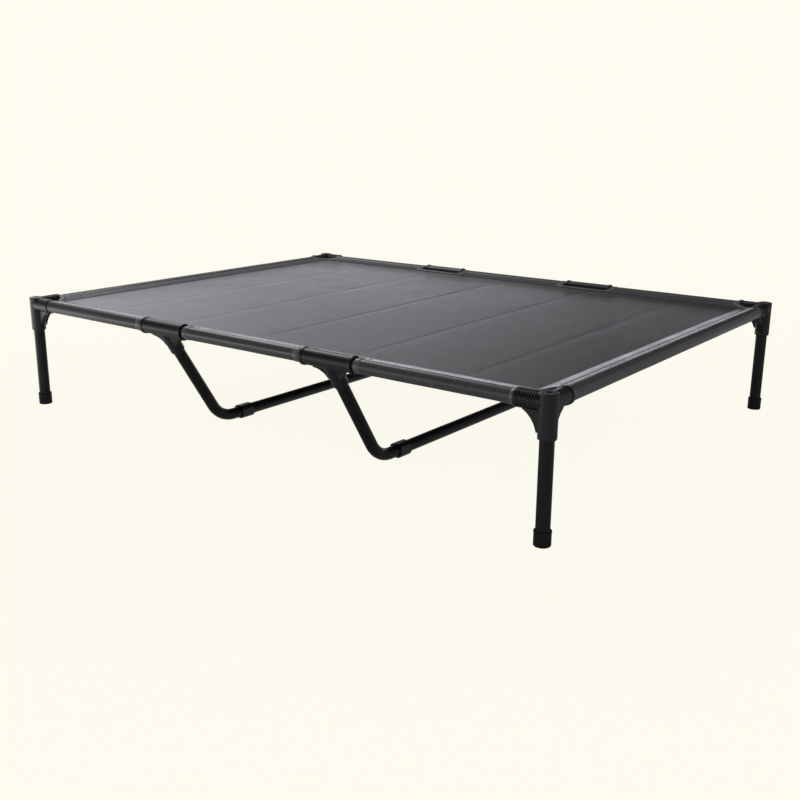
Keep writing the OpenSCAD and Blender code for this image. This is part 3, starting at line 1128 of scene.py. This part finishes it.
@dataclass
class Studio:
    """Pale studio: floor, background, soft light, and a graded dome that the satin surfaces mirror.

    A graded tone is a row of stops, each a place from 0 to 1 and the level there.
    """

    background: Colour = (0.991, 0.973, 0.871, 1.0)
    soft_light: Colour = (1.0, 0.99, 0.97, 1.0)
    soft_strength: float = 0.55
    camera_place: Point = (1.247338, -1.647031, 0.591285)
    camera_turn: Point = (74.348356, -0.393544, 37.228009)
    lens: float = 45.39918
    sensor: float = 36.0
    sight: float = 200.0
    lamps: tuple[Lamp, ...] = (
        Lamp("key_lamp", (-2.0, 0.7, 2.3), size=1.4, watts=15.0, mirrored=True),
        Lamp("fill_lamp", (1.8, -2.2, 2.4), size=2.0, watts=15.0, mirrored=False),
    )
    lamp_aim: Point = (0.0, 0.0, 0.2)
    floor_size: float = 120.0
    shadow_share: float = 0.035
    shadow_core: float = 0.35
    shadow_reach: float = 2.6
    shade_half: Flat = (0.62, 0.47)
    # Painted shadow under the cot and painted light on the left, in the floor that gloss sees
    mirrored: Stops = ((0.0, 0.9), (0.25, 0.7), (0.42, 0.32), (0.75, 0.9), (1.0, 1.0))
    mirror_left: Stops = ((0.3, 0.3), (0.5, 0.42), (0.62, 0.9), (0.7, 1.9), (0.9, 2.2), (1.0, 1.0))
    mirror_scale: float = -0.2
    dome_radius: float = 40.0
    dome_tint: Colour = (0.99, 0.975, 1.04, 1.0)
    dome_round: Stops = (
        (0.0, 0.8), (0.1, 0.45), (0.25, 0.4), (0.36, 0.5), (0.6, 0.45), (0.68, 0.4), (0.73, 0.15),
        (0.77, 0.04), (0.8, 0.04), (0.8194, 0.1), (0.835, 0.27), (0.853, 0.46), (0.876, 0.65),
        (0.9, 1.02), (0.95, 2.0), (1.0, 1.5),
    )
    dome_rise: Stops = ((0.0, 0.5), (0.13, 0.6), (0.17, 0.75), (0.27, 1.0), (0.35, 0.38), (0.5, 0.1))
    skirt_round: Stops = (
        (0.0, 0.5), (0.13, 0.12), (0.35, 0.0), (0.72, 0.0), (0.78, 1.0), (0.85, 1.0), (0.88, 0.6),
        (1.0, 0.6),
    )
    skirt_rise: Stops = ((0.0, 2.6), (0.05, 2.3), (0.09, 0.9), (0.115, 0.0))
    soft_box_round: Stops = (
        (0.0, 0.4), (0.04, 0.2), (0.12, 0.0), (0.5, 0.0), (0.65, 0.1), (0.75, 0.2), (0.84, 0.3),
        (0.89, 0.8), (0.93, 0.7), (0.96, 0.5), (1.0, 0.4),
    )
    soft_box_rise: Stops = ((0.4, 0.0), (0.56, 0.6), (0.7, 1.0), (1.0, 1.0))

    def graded(self, board: ShaderBoard, place: Socket, stops: Stops) -> Socket:
        """Socket of a tone in greys that is graded over a place."""
        return board.ramp(place, [spot for spot, _ in stops], [grey(level) for _, level in stops])

    def pale_factor(self, board: ShaderBoard) -> Socket:
        """One for rays that see the background itself, nought for those that carry light.

        Args:
            board: The board of the floor or the world.

        Returns:
            The factor's socket.
        """
        path = board.add("ShaderNodeLightPath").outputs
        total = board.maths("ADD", path[Seen.CAMERA.value], path[Seen.GLOSSY.value])
        total = board.maths("ADD", total, path[Seen.TRANSMISSION.value])
        return board.maths("MINIMUM", total, 1.0)

    def light_world(self) -> None:
        """Lights the room evenly and shows the pale background."""
        world = bpy.data.worlds.new("studio")
        bpy.context.scene.world = world
        board = ShaderBoard(world)
        room, pale = (
            board.add("ShaderNodeBackground", {"Color": colour, "Strength": strength})
            for colour, strength in ((self.soft_light, self.soft_strength), (self.background, 1.0))
        )
        shown = board.mix(self.pale_factor(board), room, pale)
        board.add("ShaderNodeOutputWorld", {"Surface": shown.outputs[0]})

    def floor_mirror(self, board: ShaderBoard, place: Socket) -> Node:
        """What gloss sees of the floor: a painted shadow under the cot's rim, and painted light on its
        left.

        Args:
            board: The floor's board.
            place: Socket of the place on the floor.

        Returns:
            The shader.
        """
        parts = board.parts(place)
        out = [board.maths("DIVIDE", board.maths("ABSOLUTE", parts[axis]), half)
               for axis, half in zip("XY", self.shade_half)]
        # The rim is halfway along the row of stops
        under = board.maths("MULTIPLY", board.maths("MAXIMUM", *out), 0.5)
        left = board.maths("MULTIPLY_ADD", parts["X"], self.mirror_scale, 0.5)
        # Painted shadow under the cot, times painted light towards the left
        tone = board.blend("MULTIPLY", self.graded(board, under, self.mirrored),
                           self.graded(board, left, self.mirror_left))
        return board.add("ShaderNodeEmission", {"Color": tone, "Strength": 1.0})

    def lay_floor(self) -> None:
        """Lays the floor in the background's colour, with a faint shadow near the object."""
        deselect_all()
        bpy.ops.mesh.primitive_plane_add(size=self.floor_size, location=(0.0, 0.0, 0.0))
        floor = bpy.context.object
        floor.name = "studio_floor"
        material = bpy.data.materials.new("floor_paper")
        board = ShaderBoard(material)
        paper = board.add("ShaderNodeBsdfDiffuse", {"Color": self.background})
        glow = board.add("ShaderNodeEmission", {"Color": self.background, "Strength": 1.0})
        place = board.add("ShaderNodeTexCoord").outputs["Object"]
        away = board.add("ShaderNodeVectorMath", {0: place}, operation="LENGTH").outputs["Value"]
        away = board.maths("DIVIDE", away, self.shadow_reach)
        fade = self.graded(board, away, ((self.shadow_core, self.shadow_share), (1.0, 0.0)))
        glossy = board.add("ShaderNodeLightPath").outputs[Seen.GLOSSY.value]
        seen = board.mix(glossy, board.mix(fade, glow, paper), self.floor_mirror(board, place))
        board.end(board.mix(self.pale_factor(board), paper, seen))
        floor.data.materials.append(material)

    def raise_dome(self) -> None:
        """Raises a dome that only reflections see: light low down at the back left, darker elsewhere."""
        deselect_all()
        bpy.ops.mesh.primitive_uv_sphere_add(segments=96, ring_count=48, radius=self.dome_radius)
        dome = bpy.context.object
        dome.name = "studio_dome"
        dome.visible_camera = dome.visible_diffuse = dome.visible_shadow = False
        dome.visible_transmission = dome.visible_volume_scatter = False
        material = bpy.data.materials.new("studio_dome_paper")
        board = ShaderBoard(material)
        place = board.add("ShaderNodeTexCoord").outputs["Object"]
        gradient = board.add("ShaderNodeTexGradient", {"Vector": place}, gradient_type="RADIAL")
        turn = gradient.outputs["Fac"]
        rise = board.maths("DIVIDE", board.parts(place)["Z"], self.dome_radius)
        body, skirt, box = (
            board.blend("MULTIPLY", self.graded(board, turn, around), self.graded(board, rise, upwards))
            for around, upwards in (
                (self.dome_round, self.dome_rise), (self.skirt_round, self.skirt_rise),
                (self.soft_box_round, self.soft_box_rise),
            )
        )
        tone = board.blend("ADD", board.blend("ADD", body, skirt), box)
        tone = board.blend("MULTIPLY", tone, self.dome_tint)
        board.end(board.add("ShaderNodeEmission", {"Color": tone, "Strength": 1.0}))
        dome.data.materials.append(material)

    def set_camera(self) -> None:
        """Sets the camera where the photograph was taken from."""
        deselect_all()
        turn = [math.radians(angle) for angle in self.camera_turn]
        bpy.ops.object.camera_add(location=self.camera_place, rotation=turn)
        camera = bpy.context.object
        camera.data.sensor_width, camera.data.lens = self.sensor, self.lens
        camera.data.clip_end = self.sight
        bpy.context.scene.camera = camera

    def build(self) -> None:
        """Sets up the whole studio."""
        bpy.context.scene.view_settings.view_transform = "Standard"
        self.set_camera()
        self.light_world()
        self.lay_floor()
        self.raise_dome()
        for lamp in self.lamps:
            lamp.hang(self.lamp_aim)


def main() -> None:
    """Builds the studio, dresses the frame and sews the sling."""
    logging.basicConfig(level=logging.INFO)
    for finish in FINISHES:
        finish.build()
    Studio().build()
    for name in TubeFrame().dress():
        LOG.info("dressed %s", name)
    for piece in Sling().build():
        LOG.info("made %s with %d faces", piece.name, len(piece.data.polygons))


if __name__ == "__main__":
    main()
